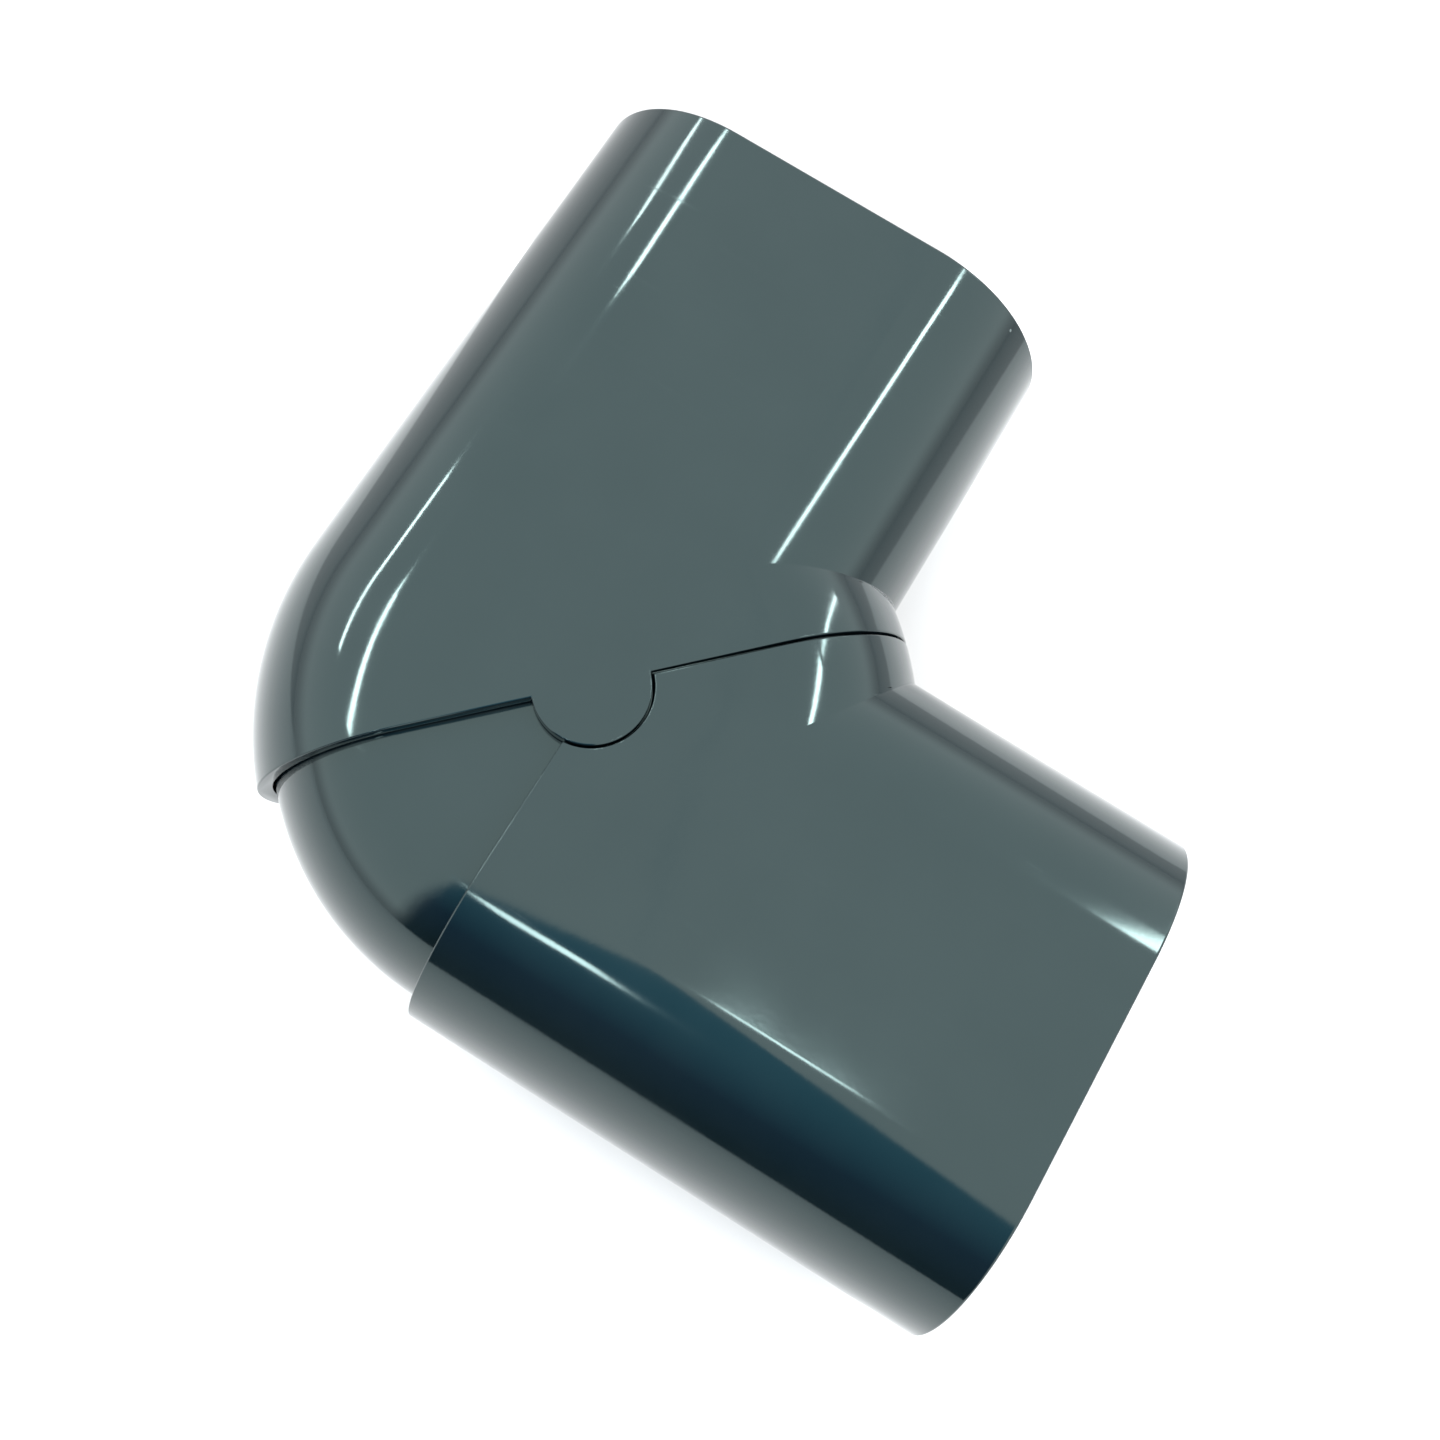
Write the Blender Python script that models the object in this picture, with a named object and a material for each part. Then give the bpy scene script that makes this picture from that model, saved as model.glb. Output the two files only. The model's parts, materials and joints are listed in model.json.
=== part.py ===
"""Swivelling oval elbow for a rainwater downpipe: two PVC mouldings on one pivot.

Frame: +Z runs along the pivot axis, which crosses the two flat faces. The fitting lies on
one flat face at z = 0. The inner half's socket points along +X and the outer half's along
+Y, so the inside of the bend is the +X +Y quarter. The outer half turns about the pivot.
"""

import math

import bmesh
import bpy
from mathutils import Matrix, Vector

# Driving dimensions, in metres and degrees.
WIDTH = 0.097  # each socket, outside, measured in the plane of the bend
HEIGHT = 0.062  # outside, between the two flat faces
SIDE_ROUND = 0.027  # how far each rounded side reaches in over the flat faces
PIVOT_TO_BACK = 0.060  # from the pivot to the outer side of each socket
PIVOT_TO_RIM = 0.102
WALL = 0.0028
DRUM_WALL = 0.0025
RUNNING_GAP = 0.0004  # between the drum and the cowl that turns round it
PARTING_GAP = 0.0003  # between the two halves where they stop against each other
SKIN_EDGE = 0.0010  # from the pivot to the step down onto the drum
STEP_LAND = 0.0030  # width of the thick band that joins the skin to the drum
TAB_RADIUS = 0.0101
STUD_RADIUS = 0.0050
STUD_LENGTH = 0.0034
STOP_FROM_PIVOT = 0.0605  # near face of the ledge that the pipe stops against
STOP_WIDTH = 0.0020
STOP_HEIGHT = 0.0016
PARTING_ANGLE = 45.0
MOUTH_ANGLE = 148.0  # the way that the drum's opening faces
MOUTH_FROM_PIVOT = 0.034
DRUM_STEPS = 100  # facets in a whole turn, so that the parting line crosses one half way
ROUND_STEPS = 9  # facets in a quarter of the side rounding
HOLE_STEPS = 40

# Worked out from the dimensions above.
HALF_HEIGHT = HEIGHT / 2
BACK_CENTRE = PIVOT_TO_BACK - SIDE_ROUND  # from the pivot to where the back rounding starts
FRONT_CENTRE = WIDTH - PIVOT_TO_BACK - SIDE_ROUND  # the same on the inside of the bend
DRUM_INSET = WALL + RUNNING_GAP
BALL_ROOM_INSET = DRUM_INSET + DRUM_WALL
DRUM_STEP = 360 / DRUM_STEPS
WRAP_STEPS = math.ceil((PARTING_ANGLE + 15) / DRUM_STEP)  # past the parting line, which trims it
SHOULDER_START = 3 * DRUM_STEP  # the shoulder's sector starts well inside its own socket
SHOULDER_STEPS = 16
SHOULDER_SPAN = SHOULDER_STEPS * DRUM_STEP
STOP_END = STOP_FROM_PIVOT + STOP_WIDTH
NOTCH_RADIUS = TAB_RADIUS + RUNNING_GAP
REACH = 0.250  # size of the blocks that cut a side away
OVERSHOOT = 0.002  # how far a cutter runs past the face that it opens
SAME_PLACE = 1e-6

PVC_COLOUR = (0.040, 0.062, 0.064, 1.0)
PVC_ROUGHNESS = 0.12


def clear_scene():
    for item in list(bpy.data.objects):
        bpy.data.objects.remove(item, do_unlink=True)


def make_collection(name):
    collection = bpy.data.collections.new(name)
    bpy.context.scene.collection.children.link(collection)
    return collection


def pvc(name):
    material = bpy.data.materials.new(name)
    material.use_nodes = True
    shader = material.node_tree.nodes["Principled BSDF"]
    shader.inputs["Base Color"].default_value = PVC_COLOUR
    shader.inputs["Roughness"].default_value = PVC_ROUGHNESS
    shader.inputs["Metallic"].default_value = 0.0
    return material


def add_object(name, form, collection):
    """Turns a bmesh into a named object."""
    mesh = bpy.data.meshes.new(name)
    form.to_mesh(mesh)
    form.free()
    item = bpy.data.objects.new(name, mesh)
    collection.objects.link(item)
    if collection is CUTTERS:
        item.hide_render = True
        item.display_type = "WIRE"
    return item


def boolean(item, other, operation):
    modifier = item.modifiers.new(f"{operation.lower()} {other.name}", "BOOLEAN")
    modifier.operation = operation
    modifier.solver = "EXACT"
    modifier.object = other


def join(item, *others):
    for other in others:
        boolean(item, other, "UNION")


def cut(item, *others):
    for other in others:
        boolean(item, other, "DIFFERENCE")


def quarter_ellipse(centre, across, up, start):
    """Points over a quarter turn clockwise from the angle start, without the last one."""
    angles = [math.radians(start - 90 * i / ROUND_STEPS) for i in range(ROUND_STEPS)]
    return [(centre + across * math.cos(a), up * math.sin(a)) for a in angles]


def oval(inset):
    """Outline of a socket: flat top and bottom, with elliptical sides.

    The first number runs from the back of the bend (negative) to the inside of the bend.
    The two points over the pivot come first and half way.
    """
    across, up = SIDE_ROUND - inset, HALF_HEIGHT - inset
    front = quarter_ellipse(FRONT_CENTRE, across, up, 90) + quarter_ellipse(FRONT_CENTRE, across, up, 0)
    back = quarter_ellipse(-BACK_CENTRE, across, up, -90) + quarter_ellipse(-BACK_CENTRE, across, up, -180)
    return [(0.0, up)] + front + [(FRONT_CENTRE, -up), (0.0, -up)] + back + [(-BACK_CENTRE, up)]


def socket_bar(name, inset, start, end, collection, wrap_steps=0):
    """Solid oval bar along +Y, from start to end measured from the pivot.

    With wrap_steps, its back half also turns round the pivot from the start face on, so
    that the back of the bend runs on from the socket's side without a break.
    """
    bar = bmesh.new()
    outline = [bar.verts.new((across, start, height)) for across, height in oval(inset)]
    section = bar.faces.new(outline)
    far = bmesh.ops.extrude_face_region(bar, geom=[section])["geom"]
    far_corners = [part for part in far if isinstance(part, bmesh.types.BMVert)]
    bmesh.ops.translate(bar, verts=far_corners, vec=(0, end - start, 0))
    if wrap_steps:
        over, under = outline[0], outline[len(outline) // 2]
        bmesh.ops.connect_verts(bar, verts=[over, under])
        near = [f for f in bar.faces if all(abs(v.co.y - start) < SAME_PLACE for v in f.verts)]
        back = min(near, key=lambda face: face.calc_center_median().x)
        turn = math.radians(wrap_steps * DRUM_STEP)
        bmesh.ops.spin(
            bar, geom=[back], cent=(0, 0, 0), axis=(0, 0, 1), angle=turn, steps=wrap_steps,
        )
        bmesh.ops.delete(bar, geom=[back], context="FACES_ONLY")
        bmesh.ops.remove_doubles(bar, verts=bar.verts, dist=SAME_PLACE)
    bmesh.ops.recalc_face_normals(bar, faces=bar.faces)
    return add_object(name, bar, collection)


def lay_along_x(item):
    """Mirrors a bar from +Y to +X, so that its back stays on the outside of the bend."""
    swap = Matrix(((0, 1, 0, 0), (1, 0, 0, 0), (0, 0, 1, 0), (0, 0, 0, 1)))
    item.data.transform(swap)
    item.data.flip_normals()
    return item


def drum(name, inset, start=0.0, steps=0):
    """Solid drum about the pivot, turned from the socket's own side rounding.

    It is whole, or a sector from the angle start that spans a number of drum steps.
    """
    across, up = SIDE_ROUND - inset, HALF_HEIGHT - inset
    side = quarter_ellipse(BACK_CENTRE, across, up, 90) + quarter_ellipse(BACK_CENTRE, across, up, 0)
    profile = [(0.0, up)] + side + [(BACK_CENTRE, -up), (0.0, -up)]
    turned = bmesh.new()
    face_start = Matrix.Rotation(math.radians(start), 3, "Z")
    corners = [turned.verts.new(face_start @ Vector((radius, 0, height))) for radius, height in profile]
    if steps:
        swept = [turned.faces.new(corners)]
    else:
        swept = corners + [turned.edges.new(pair) for pair in zip(corners, corners[1:])]
    count = steps or DRUM_STEPS
    bmesh.ops.spin(
        turned, geom=swept, cent=(0, 0, 0), axis=(0, 0, 1),
        angle=math.radians(count * DRUM_STEP), steps=count, use_merge=not steps,
    )
    bmesh.ops.remove_doubles(turned, verts=turned.verts, dist=SAME_PLACE)
    bmesh.ops.recalc_face_normals(turned, faces=turned.faces)
    return add_object(name, turned, CUTTERS)


def round_bar(name, radius, low, high):
    """Upright cylinder on the pivot axis."""
    bar = bmesh.new()
    place = Matrix.Translation((0, 0, (low + high) / 2))
    bmesh.ops.create_cone(
        bar, cap_ends=True, segments=HOLE_STEPS, radius1=radius, radius2=radius,
        depth=high - low, matrix=place,
    )
    return add_object(name, bar, CUTTERS)


def half_space(name, facing, distance):
    """Block that fills everything further than distance from the pivot, towards facing."""
    block = bmesh.new()
    turn = Matrix.Rotation(math.radians(facing), 4, "Z")
    place = turn @ Matrix.Translation((distance + REACH / 2, 0, 0))
    bmesh.ops.create_cube(block, size=REACH, matrix=place)
    return add_object(name, block, CUTTERS)


def socket_bores(name):
    """The pipe's seat down to the stop, and the slightly narrower way through the stop."""
    seat = socket_bar(f"{name} seat", WALL, STOP_END, PIVOT_TO_RIM + OVERSHOOT, CUTTERS)
    way = socket_bar(
        f"{name} way", WALL + STOP_HEIGHT, STOP_FROM_PIVOT - OVERSHOOT, STOP_END + OVERSHOOT, CUTTERS
    )
    return seat, way


def outer_half():
    """Upper socket with the cowl round the back of the bend, the tabs and their pivot studs."""
    half = socket_bar("outer_half", 0.0, 0.0, PIVOT_TO_RIM, PARTS, WRAP_STEPS)
    join(half, drum("outer shoulder", 0.0, 90 - SHOULDER_START - SHOULDER_SPAN, SHOULDER_STEPS))
    cut(half, half_space("beyond the parting line", PARTING_ANGLE - 90, PARTING_GAP / 2))
    join(half, round_bar("tabs", TAB_RADIUS, -HALF_HEIGHT, HALF_HEIGHT))

    face = HALF_HEIGHT - WALL
    room = socket_bar("cowl room", WALL, 0.0, STOP_FROM_PIVOT, CUTTERS, WRAP_STEPS)
    join(
        room,
        drum("outer shoulder room", WALL, 90 - SHOULDER_START - SHOULDER_SPAN, SHOULDER_STEPS),
        round_bar("tab room", NOTCH_RADIUS, -face, face),
    )
    cut(half, room, *socket_bores("outer"))

    root = WALL / 2
    join(
        half,
        round_bar("top stud", STUD_RADIUS, face - STUD_LENGTH, face + root),
        round_bar("bottom stud", STUD_RADIUS, -face - root, -face + STUD_LENGTH),
    )
    return half


def inner_half():
    """Lower socket with the drum that turns inside the cowl, and the notches for the tabs."""
    half = lay_along_x(socket_bar("inner_half", 0.0, SKIN_EDGE, PIVOT_TO_RIM, PARTS))
    join(half, drum("inner shoulder", 0.0, SHOULDER_START, SHOULDER_STEPS))
    cut(
        half,
        half_space("above the parting line", PARTING_ANGLE + 90, -PARTING_GAP / 2),
        round_bar("notches", NOTCH_RADIUS, -HEIGHT, HEIGHT),
    )

    ball = drum("ball", DRUM_INSET)
    cut(ball, half_space("mouth", MOUTH_ANGLE, MOUTH_FROM_PIVOT))
    join(half, ball)

    room = lay_along_x(socket_bar("inner throat", WALL, SKIN_EDGE + STEP_LAND, STOP_FROM_PIVOT, CUTTERS))
    join(room, drum("inner shoulder room", WALL, SHOULDER_START, SHOULDER_STEPS))
    cut(
        room,
        half_space("land along the parting line", PARTING_ANGLE + 90, -STEP_LAND),
        round_bar("land round the notches", NOTCH_RADIUS + STEP_LAND, -HEIGHT, HEIGHT),
    )
    bores = [lay_along_x(bore) for bore in socket_bores("inner")]
    stud_holes = round_bar("stud holes", STUD_RADIUS + RUNNING_GAP, -HEIGHT, HEIGHT)
    cut(half, drum("ball room", BALL_ROOM_INSET), room, *bores, stud_holes)
    return half


def place(half, pivot):
    half.parent = pivot
    half.data.materials.clear()
    half.data.materials.append(pvc(half.name))


clear_scene()
PARTS = make_collection("swivelling_oval_elbow")
CUTTERS = make_collection("cutters")

pivot_axis = bpy.data.objects.new("pivot_axis", None)
pivot_axis.empty_display_type = "SINGLE_ARROW"
pivot_axis.empty_display_size = HEIGHT
PARTS.objects.link(pivot_axis)

for piece in (outer_half(), inner_half()):
    place(piece, pivot_axis)

# The cutters follow the pivot too, so that the whole model lifts onto its flat face.
for cutter in CUTTERS.objects:
    cutter.parent = pivot_axis
pivot_axis.location = Vector((0, 0, HALF_HEIGHT))
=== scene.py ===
"""Looks of the swivelling oval elbow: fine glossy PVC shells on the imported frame, and a plain studio.

Both halves are modelled again with fine facets, rounded edges and exact surface normals, in
the same places as the CAD solids, which they replace. All sizes are in metres.
"""

import json
import math

import bmesh
import bpy
import numpy as np
from mathutils import Euler, Matrix, Vector

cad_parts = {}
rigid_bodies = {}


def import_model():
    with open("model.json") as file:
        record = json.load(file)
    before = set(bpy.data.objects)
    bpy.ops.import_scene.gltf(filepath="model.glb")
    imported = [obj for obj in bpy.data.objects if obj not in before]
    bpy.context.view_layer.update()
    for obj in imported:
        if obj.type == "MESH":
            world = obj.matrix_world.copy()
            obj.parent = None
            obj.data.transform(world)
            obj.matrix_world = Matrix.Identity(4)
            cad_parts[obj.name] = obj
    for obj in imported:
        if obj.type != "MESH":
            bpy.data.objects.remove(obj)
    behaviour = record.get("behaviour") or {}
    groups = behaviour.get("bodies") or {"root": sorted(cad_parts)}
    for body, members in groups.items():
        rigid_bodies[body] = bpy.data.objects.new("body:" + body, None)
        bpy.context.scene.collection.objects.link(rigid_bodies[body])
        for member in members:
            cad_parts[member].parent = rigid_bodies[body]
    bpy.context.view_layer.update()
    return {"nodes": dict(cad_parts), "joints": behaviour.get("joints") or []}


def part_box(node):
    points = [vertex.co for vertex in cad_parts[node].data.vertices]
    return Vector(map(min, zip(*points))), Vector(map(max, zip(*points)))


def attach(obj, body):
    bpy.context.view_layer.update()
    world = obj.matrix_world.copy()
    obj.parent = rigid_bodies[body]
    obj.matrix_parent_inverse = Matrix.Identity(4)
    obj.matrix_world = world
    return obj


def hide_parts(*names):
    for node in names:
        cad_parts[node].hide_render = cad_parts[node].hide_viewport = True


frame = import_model()

# Sizes read from the frame.
PIVOT = Vector(frame["joints"][0]["pos_m"])
OUTER_LOW, OUTER_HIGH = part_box("outer_half")
RIM_X = [v.co.x for v in frame["nodes"]["outer_half"].data.vertices if v.co.y > OUTER_HIGH.y - 1e-5]
WIDTH = max(RIM_X) - min(RIM_X)
HALF_HEIGHT = (OUTER_HIGH.z - OUTER_LOW.z) / 2
PIVOT_TO_BACK = PIVOT.x - OUTER_LOW.x
PIVOT_TO_RIM = OUTER_HIGH.y - PIVOT.y

# Sizes of the moulding's details, the same as in the CAD model.
SIDE_ROUND = 0.027
SKIN_EDGE = 0.0010
WALL = 0.0028
DRUM_WALL = 0.0025
RUNNING_GAP = 0.0004
STEP_LAND = 0.0030
TAB_RADIUS = 0.0101
STUD_RADIUS = 0.0050
STUD_LENGTH = 0.0034
STOP_FROM_PIVOT = 0.0605
STOP_WIDTH = 0.0020
STOP_HEIGHT = 0.0016
PARTING_ANGLE = 45.0
MOUTH_ANGLE = 148.0
MOUTH_FROM_PIVOT = 0.034

# The parting line. In the CAD model the two faces meet without a gap.
PARTING_GAP = 0.0005

# Facets of the visible surface.
DRUM_STEPS = 180
ROUND_STEPS = 28
HOLE_STEPS = 96
EDGE_RADIUS = 0.00030
RIM_RADIUS = 0.00050
EDGE_SEGMENTS = 3
SHARP = math.radians(35)
SHADED_SHARP = math.radians(40)
STILL_FLAT = math.radians(0.5)
WELD = 1e-5

BACK_CENTRE = PIVOT_TO_BACK - SIDE_ROUND
FRONT_CENTRE = WIDTH - PIVOT_TO_BACK - SIDE_ROUND
DRUM_INSET = WALL + RUNNING_GAP
BALL_ROOM_INSET = DRUM_INSET + DRUM_WALL
DRUM_STEP = 360 / DRUM_STEPS
WRAP_STEPS = math.ceil((PARTING_ANGLE + 15) / DRUM_STEP)
SHOULDER_START = 5 * DRUM_STEP
SHOULDER_STEPS = 30
STOP_END = STOP_FROM_PIVOT + STOP_WIDTH
NOTCH_RADIUS = TAB_RADIUS + RUNNING_GAP
REACH = 0.250
OVERSHOOT = 0.002
SAME_PLACE = 1e-6

# A corner takes a surface's normal when it is this near to it and its face looks this much along it.
ON_SURFACE = 0.00003
FACING = 0.9

# Studio: azimuth of the room's dark side, and the pale sheet's turn and its two near edges.
DARK_SIDE = -80.0
SHEET_TURN = 31.2
SHEET_SIDE = 0.230
SHEET_END = 0.112
EDGE_BLUR = 0.004
FLOOR_DROP = 0.0002
ROOM_RADIANCE = 2.7

HELPERS = bpy.data.collections.new("helpers")
bpy.context.scene.collection.children.link(HELPERS)


# ---------------------------------------------------------------- solids

def add_helper(name, solid):
    mesh = bpy.data.meshes.new(name)
    solid.to_mesh(mesh)
    solid.free()
    helper = bpy.data.objects.new(name, mesh)
    HELPERS.objects.link(helper)
    return helper


def combine(item, others, operation):
    for other in others:
        modifier = item.modifiers.new(other.name, "BOOLEAN")
        modifier.operation = operation
        modifier.solver = "EXACT"
        modifier.object = other
    return item


def join(item, *others):
    return combine(item, others, "UNION")


def cut(item, *others):
    return combine(item, others, "DIFFERENCE")


def quarter_ellipse(centre, across, up, start):
    angles = [math.radians(start - 90 * i / ROUND_STEPS) for i in range(ROUND_STEPS)]
    return [(centre + across * math.cos(a), up * math.sin(a)) for a in angles]


def oval(inset):
    """Outline of a socket, with the two points over the pivot first and half way."""
    across, up = SIDE_ROUND - inset, HALF_HEIGHT - inset
    front = quarter_ellipse(FRONT_CENTRE, across, up, 90) + quarter_ellipse(FRONT_CENTRE, across, up, 0)
    back = quarter_ellipse(-BACK_CENTRE, across, up, -90) + quarter_ellipse(-BACK_CENTRE, across, up, -180)
    return [(0.0, up)] + front + [(FRONT_CENTRE, -up), (0.0, -up)] + back + [(-BACK_CENTRE, up)]


def socket_bar(name, inset, start, end, wrap_steps=0):
    """Solid oval bar along +Y. With wrap_steps its back half runs on round the pivot."""
    bar = bmesh.new()
    outline = [bar.verts.new((across, start, height)) for across, height in oval(inset)]
    section = bar.faces.new(outline)
    far = bmesh.ops.extrude_face_region(bar, geom=[section])["geom"]
    far_corners = [part for part in far if isinstance(part, bmesh.types.BMVert)]
    bmesh.ops.translate(bar, verts=far_corners, vec=(0, end - start, 0))
    if wrap_steps:
        over, under = outline[0], outline[len(outline) // 2]
        bmesh.ops.connect_verts(bar, verts=[over, under])
        near = [f for f in bar.faces if all(abs(v.co.y - start) < SAME_PLACE for v in f.verts)]
        back = min(near, key=lambda face: face.calc_center_median().x)
        turn = math.radians(wrap_steps * DRUM_STEP)
        bmesh.ops.spin(
            bar, geom=[back], cent=(0, 0, 0), axis=(0, 0, 1), angle=turn, steps=wrap_steps,
        )
        bmesh.ops.delete(bar, geom=[back], context="FACES_ONLY")
        bmesh.ops.remove_doubles(bar, verts=bar.verts, dist=SAME_PLACE)
    bmesh.ops.recalc_face_normals(bar, faces=bar.faces)
    return add_helper(name, bar)


def lay_along_x(item):
    """Mirrors a bar from +Y to +X, so that its back stays on the outside of the bend."""
    swap = Matrix(((0, 1, 0, 0), (1, 0, 0, 0), (0, 0, 1, 0), (0, 0, 0, 1)))
    item.data.transform(swap)
    item.data.flip_normals()
    return item


def drum(name, inset, start=0.0, steps=0):
    """Solid drum about the pivot: whole, or a sector of a number of steps from an angle."""
    across, up = SIDE_ROUND - inset, HALF_HEIGHT - inset
    side = quarter_ellipse(BACK_CENTRE, across, up, 90) + quarter_ellipse(BACK_CENTRE, across, up, 0)
    profile = [(0.0, up)] + side + [(BACK_CENTRE, -up), (0.0, -up)]
    turned = bmesh.new()
    turn = Matrix.Rotation(math.radians(start), 3, "Z")
    corners = [turned.verts.new(turn @ Vector((radius, 0, height))) for radius, height in profile]
    if steps:
        swept = [turned.faces.new(corners)]
    else:
        swept = corners + [turned.edges.new(pair) for pair in zip(corners, corners[1:])]
    count = steps or DRUM_STEPS
    bmesh.ops.spin(
        turned, geom=swept, cent=(0, 0, 0), axis=(0, 0, 1),
        angle=math.radians(count * DRUM_STEP), steps=count, use_merge=not steps,
    )
    bmesh.ops.remove_doubles(turned, verts=turned.verts, dist=SAME_PLACE)
    bmesh.ops.recalc_face_normals(turned, faces=turned.faces)
    return add_helper(name, turned)


def round_bar(name, radius, low, high):
    bar = bmesh.new()
    bmesh.ops.create_cone(
        bar, cap_ends=True, segments=HOLE_STEPS, radius1=radius, radius2=radius,
        depth=high - low, matrix=Matrix.Translation((0, 0, (low + high) / 2)),
    )
    return add_helper(name, bar)


def half_space(name, facing, distance):
    """Block that fills everything further than distance from the pivot, towards facing."""
    block = bmesh.new()
    turn = Matrix.Rotation(math.radians(facing), 4, "Z")
    place = turn @ Matrix.Translation((distance + REACH / 2, 0, 0))
    bmesh.ops.create_cube(block, size=REACH, matrix=place)
    return add_helper(name, block)


def socket_bores(name):
    seat = socket_bar(f"{name} seat", WALL, STOP_END, PIVOT_TO_RIM + OVERSHOOT)
    way = socket_bar(
        f"{name} way", WALL + STOP_HEIGHT, STOP_FROM_PIVOT - OVERSHOOT, STOP_END + OVERSHOOT
    )
    return seat, way


def outer_solid():
    sector_start = 90 - SHOULDER_START - SHOULDER_STEPS * DRUM_STEP
    half = socket_bar("outer solid", 0.0, 0.0, PIVOT_TO_RIM, WRAP_STEPS)
    join(half, drum("outer shoulder", 0.0, sector_start, SHOULDER_STEPS))
    cut(half, half_space("beyond the parting line", PARTING_ANGLE - 90, -PARTING_GAP / 2))
    join(half, round_bar("tabs", TAB_RADIUS, -HALF_HEIGHT, HALF_HEIGHT))

    face = HALF_HEIGHT - WALL
    room = socket_bar("cowl room", WALL, 0.0, STOP_FROM_PIVOT, WRAP_STEPS)
    join(
        room,
        drum("outer shoulder room", WALL, sector_start, SHOULDER_STEPS),
        round_bar("tab room", NOTCH_RADIUS, -face, face),
    )
    cut(half, room, *socket_bores("outer"))
    root = WALL / 2
    return join(
        half,
        round_bar("top stud", STUD_RADIUS, face - STUD_LENGTH, face + root),
        round_bar("bottom stud", STUD_RADIUS, -face - root, -face + STUD_LENGTH),
    )


def inner_solid():
    half = lay_along_x(socket_bar("inner solid", 0.0, SKIN_EDGE, PIVOT_TO_RIM))
    join(half, drum("inner shoulder", 0.0, SHOULDER_START, SHOULDER_STEPS))
    cut(
        half,
        half_space("above the parting line", PARTING_ANGLE + 90, -PARTING_GAP / 2),
        round_bar("notches", NOTCH_RADIUS, -2 * HALF_HEIGHT, 2 * HALF_HEIGHT),
    )
    ball = drum("ball", DRUM_INSET)
    join(half, cut(ball, half_space("mouth", MOUTH_ANGLE, MOUTH_FROM_PIVOT)))

    room = lay_along_x(socket_bar("inner throat", WALL, SKIN_EDGE + STEP_LAND, STOP_FROM_PIVOT))
    join(room, drum("inner shoulder room", WALL, SHOULDER_START, SHOULDER_STEPS))
    cut(
        room,
        half_space("land along the parting line", PARTING_ANGLE + 90, -STEP_LAND),
        round_bar("land round the notches", NOTCH_RADIUS + STEP_LAND, -2 * HALF_HEIGHT, 2 * HALF_HEIGHT),
    )
    bores = [lay_along_x(bore) for bore in socket_bores("inner")]
    holes = round_bar("stud holes", STUD_RADIUS + RUNNING_GAP, -2 * HALF_HEIGHT, 2 * HALF_HEIGHT)
    return cut(half, drum("ball room", BALL_ROOM_INSET), room, *bores, holes)


# ---------------------------------------------------------------- finished shells

def round_edges(shell, edges, radius):
    bmesh.ops.bevel(
        shell, geom=edges, offset=radius, offset_type="OFFSET", segments=EDGE_SEGMENTS,
        profile=0.5, affect="EDGES", clamp_overlap=False,
    )
    shell.normal_update()


def sharp_edges(shell):
    return [e for e in shell.edges if len(e.link_faces) == 2 and e.calc_face_angle() > SHARP]


def at_rim(edge):
    return all(max(v.co.x, v.co.y) > PIVOT_TO_RIM - SAME_PLACE for v in edge.verts)


def side_normals(across, height, inset):
    """Normals of the socket's or drum's elliptical side, and how far off it each point is."""
    wide, tall = SIDE_ROUND - inset, HALF_HEIGHT - inset
    slope = np.stack([across / wide ** 2, height / tall ** 2], axis=-1)
    length = np.maximum(np.linalg.norm(slope, axis=-1), 1.0)
    distance = np.abs((across / wide) ** 2 + (height / tall) ** 2 - 1) / (2 * length)
    return slope / length[..., None], distance


def surface_candidates(points, along):
    """Normals of every surface the moulding is made of, with each point's distance off it."""
    x, y, z = points.T
    over = x if along == "y" else y
    radius = np.hypot(x, y)
    radial = points * (1, 1, 0) / np.maximum(radius, SAME_PLACE)[:, None]
    sideways = np.array((1, 0, 0) if along == "y" else (0, 1, 0))
    past = np.where(over > 0, np.maximum(over - FRONT_CENTRE, 0), np.minimum(over + BACK_CENTRE, 0))
    beyond = np.maximum(radius - BACK_CENTRE, 0)
    for inset in (0, WALL, WALL + STOP_HEIGHT, DRUM_INSET, BALL_ROOM_INSET):
        for reach, direction in ((past, sideways), (beyond, radial)):
            slope, distance = side_normals(reach, z, inset)
            yield slope[:, :1] * direction + slope[:, 1:] * (0, 0, 1), distance
    bars = TAB_RADIUS, NOTCH_RADIUS, NOTCH_RADIUS + STEP_LAND, STUD_RADIUS, STUD_RADIUS + RUNNING_GAP
    for bar in bars:
        yield radial, np.abs(radius - bar)


def set_exact_normals(mesh, along):
    """Shades each corner with the true normal of the surface that it lies on."""
    points = np.array([v.co for v in mesh.vertices])
    corner_points = np.array([loop.vertex_index for loop in mesh.loops])
    corners_each = [p.loop_total for p in mesh.polygons]
    faces = np.repeat([p.normal for p in mesh.polygons], corners_each, axis=0)
    chosen = np.array([n.vector for n in mesh.corner_normals])
    best = np.full(len(chosen), FACING)
    for normals, distance in surface_candidates(points, along):
        normals = normals[corner_points]
        facing = np.einsum("ij,ij->i", normals, faces)
        better = (distance[corner_points] < ON_SURFACE) & (np.abs(facing) > best)
        chosen[better] = normals[better] * np.sign(facing[better])[:, None]
        best[better] = np.abs(facing[better])
    mesh.normals_split_custom_set(chosen.tolist())


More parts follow.
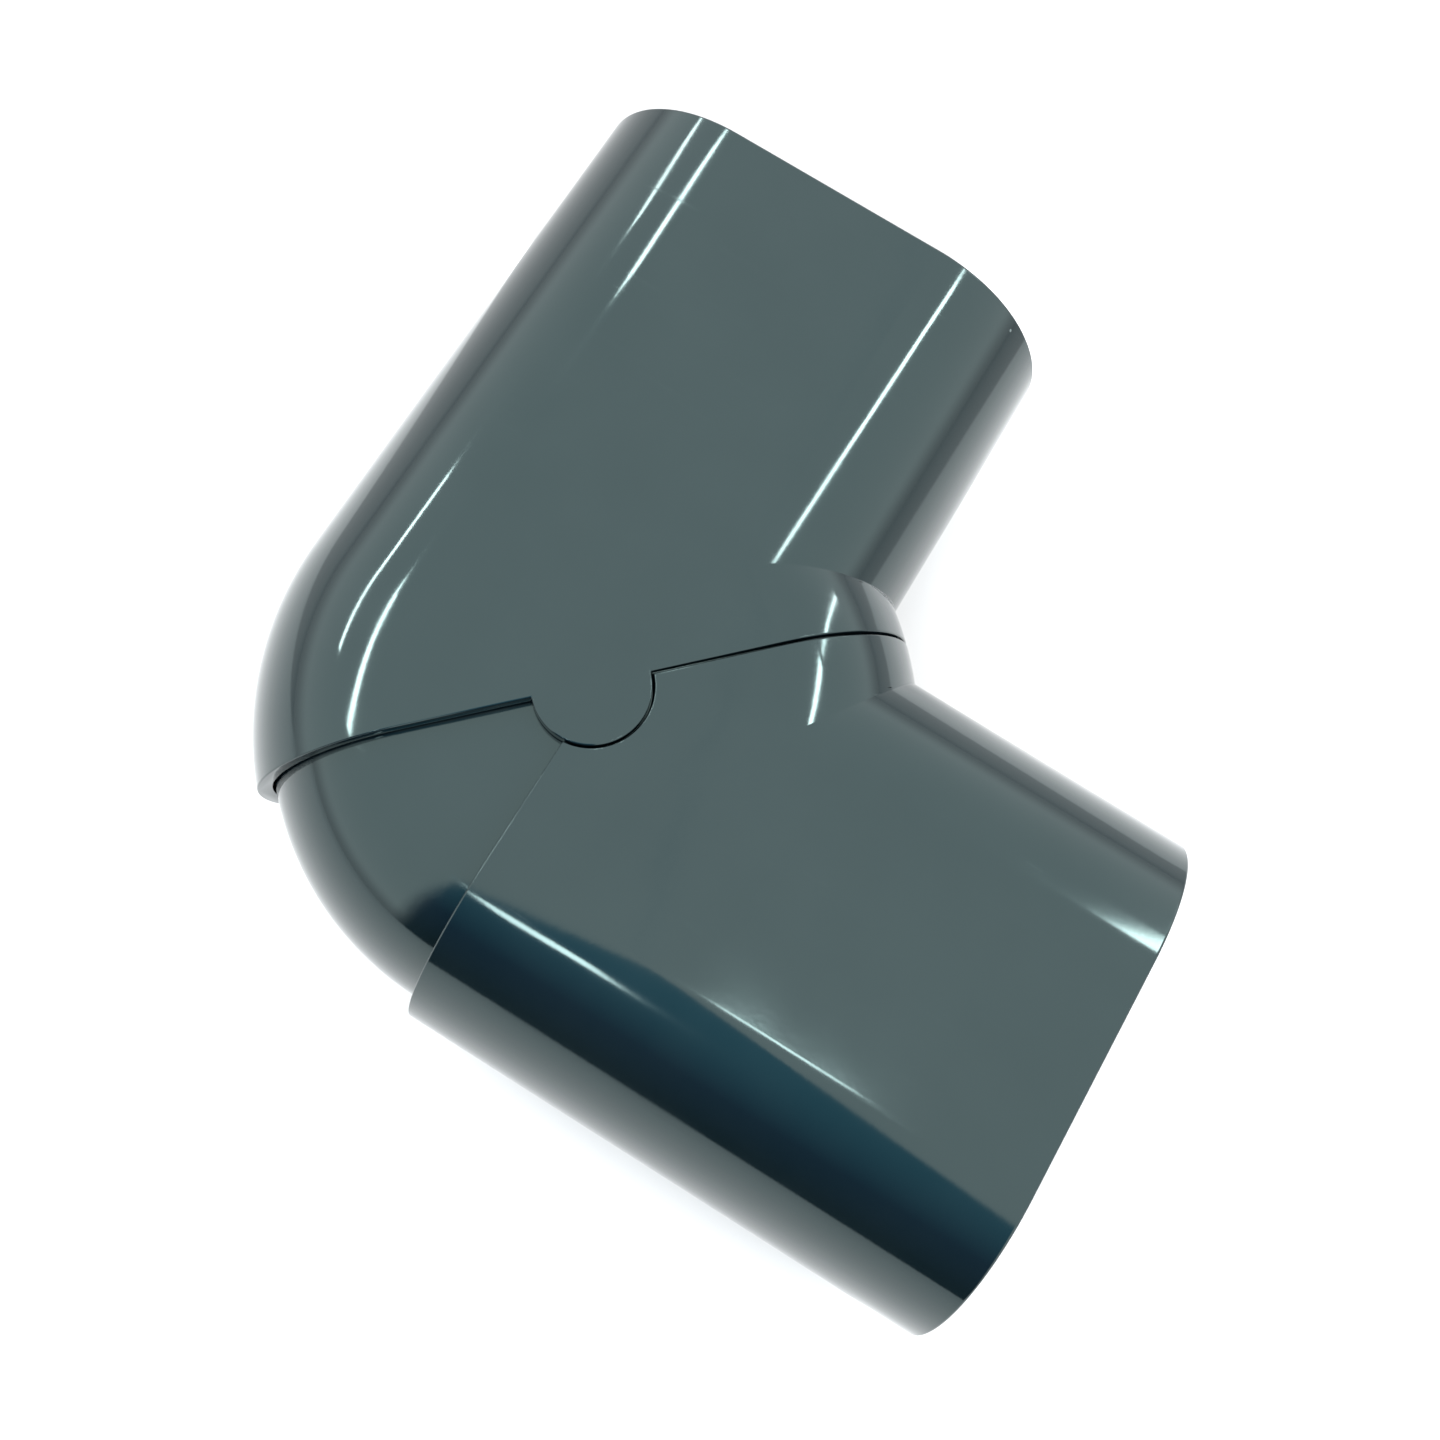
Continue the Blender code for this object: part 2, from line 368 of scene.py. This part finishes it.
def finished_shell(name, solid, along):
    """The solid with rounded edges, as a new object lifted to the pivot's height."""
    depsgraph = bpy.context.evaluated_depsgraph_get()
    raw = bpy.data.meshes.new_from_object(solid.evaluated_get(depsgraph))
    shell = bmesh.new()
    shell.from_mesh(raw)
    bmesh.ops.remove_doubles(shell, verts=shell.verts, dist=WELD)
    bmesh.ops.dissolve_degenerate(shell, edges=shell.edges, dist=WELD)
    bmesh.ops.dissolve_limit(
        shell, angle_limit=STILL_FLAT, verts=shell.verts, edges=shell.edges,
    )
    shell.normal_update()
    round_edges(shell, [e for e in sharp_edges(shell) if at_rim(e)], RIM_RADIUS)
    round_edges(shell, sharp_edges(shell), EDGE_RADIUS)
    mesh = bpy.data.meshes.new(name)
    shell.to_mesh(mesh)
    shell.free()
    mesh.shade_smooth()
    mesh.set_sharp_from_angle(angle=SHADED_SHARP)
    set_exact_normals(mesh, along)
    piece = bpy.data.objects.new(name, mesh)
    bpy.context.scene.collection.objects.link(piece)
    piece.location = PIVOT
    return piece


def drop_helpers():
    for helper in list(HELPERS.objects):
        bpy.data.objects.remove(helper, do_unlink=True)
    bpy.data.collections.remove(HELPERS)


# ---------------------------------------------------------------- material

def add_node(tree, kind, settings=None, **links):
    """Adds a node; links maps input names to constants or to other nodes' outputs."""
    node = tree.nodes.new(kind)
    for key, value in (settings or {}).items():
        setattr(node, key, value)
    for key, value in links.items():
        socket = node.inputs[key.replace("_", " ")]
        if isinstance(value, bpy.types.NodeSocket):
            tree.links.new(value, socket)
        else:
            socket.default_value = value
    return node


def remap(tree, value, low, high, to_low, to_high):
    """Smooth step: to_low where value is low or less, to_high where it is high or more."""
    node = add_node(tree, "ShaderNodeMapRange", {"interpolation_type": "SMOOTHSTEP"}, Value=value)
    for key, number in (("From Min", low), ("From Max", high), ("To Min", to_low), ("To Max", to_high)):
        node.inputs[key].default_value = number
    return node.outputs["Result"]


def arithmetic(tree, operation, first, second):
    """Math node on two constants or outputs."""
    node = add_node(tree, "ShaderNodeMath", {"operation": operation})
    for socket, value in zip(node.inputs, (first, second)):
        if isinstance(value, bpy.types.NodeSocket):
            tree.links.new(value, socket)
        else:
            socket.default_value = value
    return node.outputs["Value"]


def noise(tree, place, scale, detail):
    return add_node(tree, "ShaderNodeTexNoise", Vector=place, Scale=scale, Detail=detail).outputs["Fac"]


def mix_colours(tree, factor, first, second):
    """Mix node for colours. Its inputs 6 and 7 and its output 2 are the ones that hold colours."""
    node = add_node(tree, "ShaderNodeMix", {"data_type": "RGBA"}, Factor=factor)
    for socket, value in ((node.inputs[6], first), (node.inputs[7], second)):
        if isinstance(value, bpy.types.NodeSocket):
            tree.links.new(value, socket)
        else:
            socket.default_value = value
    return node.outputs[2]


def pvc(name, seed):
    """Glossy dark PVC: slight mottling, flow waviness, hairline scratches and dust specks."""
    material = bpy.data.materials.new(name)
    material.use_nodes = True
    tree = material.node_tree
    shader = tree.nodes["Principled BSDF"]
    place = add_node(tree, "ShaderNodeTexCoord").outputs["Object"]
    shifted = add_node(tree, "ShaderNodeMapping", Vector=place, Location=(seed, 0, 0))
    shifted = shifted.outputs["Vector"]

    mottle = noise(tree, shifted, 55.0, 3.0)
    tone = add_node(tree, "ShaderNodeValToRGB", Fac=mottle)
    tone.color_ramp.elements[0].position = 0.3
    tone.color_ramp.elements[0].color = (0.0022, 0.0048, 0.0070, 1)
    tone.color_ramp.elements[1].position = 0.7
    tone.color_ramp.elements[1].color = (0.0036, 0.0066, 0.0088, 1)

    dots = add_node(
        tree, "ShaderNodeTexVoronoi", {"voronoi_dimensions": "3D"}, Vector=shifted, Scale=140.0,
    )
    near_dot = remap(tree, dots.outputs["Distance"], 0.03, 0.05, 1, 0)
    rare_dot = remap(tree, dots.outputs["Color"], 0.86, 0.88, 0, 1)
    speck = arithmetic(tree, "MULTIPLY", near_dot, rare_dot)

    turned = add_node(
        tree, "ShaderNodeMapping", Vector=shifted, Rotation=(0, 0, math.radians(35)),
        Scale=(1, 40, 1),
    ).outputs["Vector"]
    streaks = noise(tree, turned, 45.0, 2.0)
    scratch = remap(tree, streaks, 0.70, 0.74, 0, 1)

    haze = noise(tree, shifted, 30.0, 4.0)
    roughness = remap(tree, haze, 0.3, 0.75, 0.055, 0.11)
    roughness = arithmetic(tree, "ADD", roughness, arithmetic(tree, "MULTIPLY", scratch, 0.08))
    roughness = arithmetic(tree, "ADD", roughness, arithmetic(tree, "MULTIPLY", speck, 0.5))

    dusty = mix_colours(tree, speck, tone.outputs["Color"], (0.10, 0.12, 0.12, 1))

    from_pivot = add_node(tree, "ShaderNodeVectorMath", {"operation": "LENGTH"})
    tree.links.new(place, from_pivot.inputs[0])
    sunk = remap(tree, from_pivot.outputs["Value"], 0.034, 0.047, 0.4, 0.04)
    flow = arithmetic(tree, "MULTIPLY", noise(tree, shifted, 70.0, 1.0), sunk)
    waves = add_node(tree, "ShaderNodeBump", Height=flow, Strength=0.5, Distance=0.0006)
    grain = noise(tree, shifted, 900.0, 2.0)
    bump = add_node(
        tree, "ShaderNodeBump", Height=grain, Strength=0.012, Distance=0.0002,
        Normal=waves.outputs["Normal"],
    )

    tree.links.new(dusty, shader.inputs["Base Color"])
    tree.links.new(roughness, shader.inputs["Roughness"])
    tree.links.new(bump.outputs["Normal"], shader.inputs["Normal"])
    shader.inputs["IOR"].default_value = 1.5
    shader.inputs["Specular Tint"].default_value = (0.71, 1.0, 0.98, 1)
    return material


# ---------------------------------------------------------------- the object

outer = finished_shell("outer_half_shell", outer_solid(), "y")
inner = finished_shell("inner_half_shell", inner_solid(), "x")
drop_helpers()

for piece, body, node, slot, seed in (
    (outer, "outer_body", "outer_half", "pvc_outer", 0.0),
    (inner, "inner_body", "inner_half", "pvc_inner", 0.7),
):
    piece.data.materials.append(pvc(slot, seed))
    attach(piece, body)
    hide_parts(node)


# ---------------------------------------------------------------- studio

def make_floor():
    """Pale sheet under the object, on a table that is a little darker beyond its two near edges."""
    bpy.ops.mesh.primitive_plane_add(size=6.0, location=(0, 0, -FLOOR_DROP))
    floor = bpy.context.object
    floor.name = "floor"
    material = bpy.data.materials.new("pale floor")
    material.use_nodes = True
    tree = material.node_tree
    shader = tree.nodes["Principled BSDF"]
    place = add_node(tree, "ShaderNodeTexCoord").outputs["Object"]
    turned = add_node(
        tree, "ShaderNodeMapping", Vector=place, Rotation=(0, 0, -math.radians(SHEET_TURN)),
    )
    split = add_node(tree, "ShaderNodeSeparateXYZ", Vector=turned.outputs["Vector"]).outputs
    past_side = remap(tree, split["X"], SHEET_SIDE - EDGE_BLUR, SHEET_SIDE + EDGE_BLUR, 0, 1)
    past_end = remap(tree, split["Y"], SHEET_END - EDGE_BLUR, SHEET_END + EDGE_BLUR, 0, 1)
    tone = remap(tree, arithmetic(tree, "MAXIMUM", past_side, past_end), 0, 1, 0.70, 0.42)
    colour = add_node(tree, "ShaderNodeCombineColor", Red=tone, Green=tone, Blue=tone)
    tree.links.new(colour.outputs["Color"], shader.inputs["Base Color"])
    shader.inputs["Roughness"].default_value = 0.9
    shader.inputs["Specular IOR Level"].default_value = 0.1
    floor.data.materials.append(material)


def strip_light(name, start, end, width, radiance):
    """Thin lamp between two points given from the pivot, facing the object."""
    start, end = PIVOT + Vector(start), PIVOT + Vector(end)
    middle = (start + end) / 2
    away = (middle - PIVOT).normalized()
    along = (end - start).normalized()
    away = (away - along * away.dot(along)).normalized()
    data = bpy.data.lights.new(name, "AREA")
    data.shape = "RECTANGLE"
    data.size, data.size_y = (end - start).length, width
    data.energy = math.pi * data.size * data.size_y * radiance
    light = bpy.data.objects.new(name, data)
    across = away.cross(along)
    light.matrix_world = Matrix.Translation(middle) @ Matrix((along, across, away)).transposed().to_4x4()
    bpy.context.scene.collection.objects.link(light)


def make_surroundings():
    """Even pale room, dimmer at the horizon, with one dark side that only shows in reflections."""
    world = bpy.data.worlds.new("studio")
    bpy.context.scene.world = world
    world.use_nodes = True
    tree = world.node_tree
    background = tree.nodes["Background"]
    direction = add_node(tree, "ShaderNodeTexCoord").outputs["Generated"]
    turned = add_node(
        tree, "ShaderNodeVectorRotate", {"rotation_type": "Z_AXIS"}, Vector=direction,
        Angle=-math.radians(DARK_SIDE),
    )
    split = add_node(tree, "ShaderNodeSeparateXYZ", Vector=turned.outputs["Vector"]).outputs
    ahead = arithmetic(tree, "MAXIMUM", split["X"], 0.001)
    sideways = arithmetic(tree, "ABSOLUTE", split["Y"], 0.0)
    # The dark side reaches about 26 degrees to either side of its azimuth, with a soft edge.
    in_dark = remap(tree, arithmetic(tree, "DIVIDE", sideways, ahead), 0.42, 0.56, 1, 0)
    seen_directly = add_node(tree, "ShaderNodeLightPath").outputs["Is Camera Ray"]
    in_dark = arithmetic(tree, "MULTIPLY", in_dark, arithmetic(tree, "SUBTRACT", 1.0, seen_directly))
    height = split["Z"]

    pale = remap(tree, height, -0.02, 0.22, 0.5, 1.0)
    pale_colour = add_node(tree, "ShaderNodeCombineColor", Red=pale, Green=pale, Blue=pale)
    dark = add_node(tree, "ShaderNodeValToRGB", Fac=height)  # nearly black low down, blue overhead
    dark.color_ramp.elements[0].position = 0.1
    dark.color_ramp.elements[0].color = (0.01, 0.03, 0.03, 1)
    dark.color_ramp.elements[1].position = 1.0
    dark.color_ramp.elements[1].color = (0.12, 0.38, 0.52, 1)
    dark.color_ramp.elements.new(0.55).color = (0.02, 0.07, 0.13, 1)
    colour = mix_colours(tree, in_dark, pale_colour.outputs["Color"], dark.outputs["Color"])
    tree.links.new(colour, background.inputs["Color"])
    background.inputs["Strength"].default_value = ROOM_RADIANCE


def make_camera():
    data = bpy.data.cameras.new("camera")
    data.sensor_width = 36.0
    data.lens = 42.96
    data.shift_y = -0.0745
    camera = bpy.data.objects.new("camera", data)
    camera.location = PIVOT + Vector((0.03359, -0.05642, 0.30859))
    camera.rotation_euler = Euler([math.radians(a) for a in (15.768, -4.4905, 31.2015)], "XYZ")
    bpy.context.scene.collection.objects.link(camera)
    bpy.context.scene.camera = camera
    bpy.context.scene.view_settings.view_transform = "Standard"


make_floor()
make_surroundings()
strip_light("left tube far", (-0.731, 0.581, 0.570), (-0.679, 0.495, 0.670), 0.030, 30)
strip_light("top tube far", (-0.395, 0.581, 0.831), (-0.334, 0.454, 0.901), 0.045, 40)
strip_light("left tube near", (-0.800, 0.269, 0.630), (-0.859, -0.127, 0.579), 0.035, 35)
strip_light("top tube near", (-0.496, 0.178, 0.900), (-0.650, -0.297, 0.770), 0.045, 40)
strip_light("right tube", (0.366, 0.591, 0.830), (0.315, 0.345, 0.930), 0.045, 40)
strip_light("right tube low", (0.420, 0.920, 0.310), (0.372, 0.620, 0.790), 0.016, 40)
strip_light("dark side lamp", (-0.100, -0.480, 0.920), (0.007, -0.439, 0.940), 0.060, 25)
strip_light("overhead lamp", (0.085, 0.029, 1.028), (0.200, 0.022, 1.017), 0.030, 24)
make_camera()
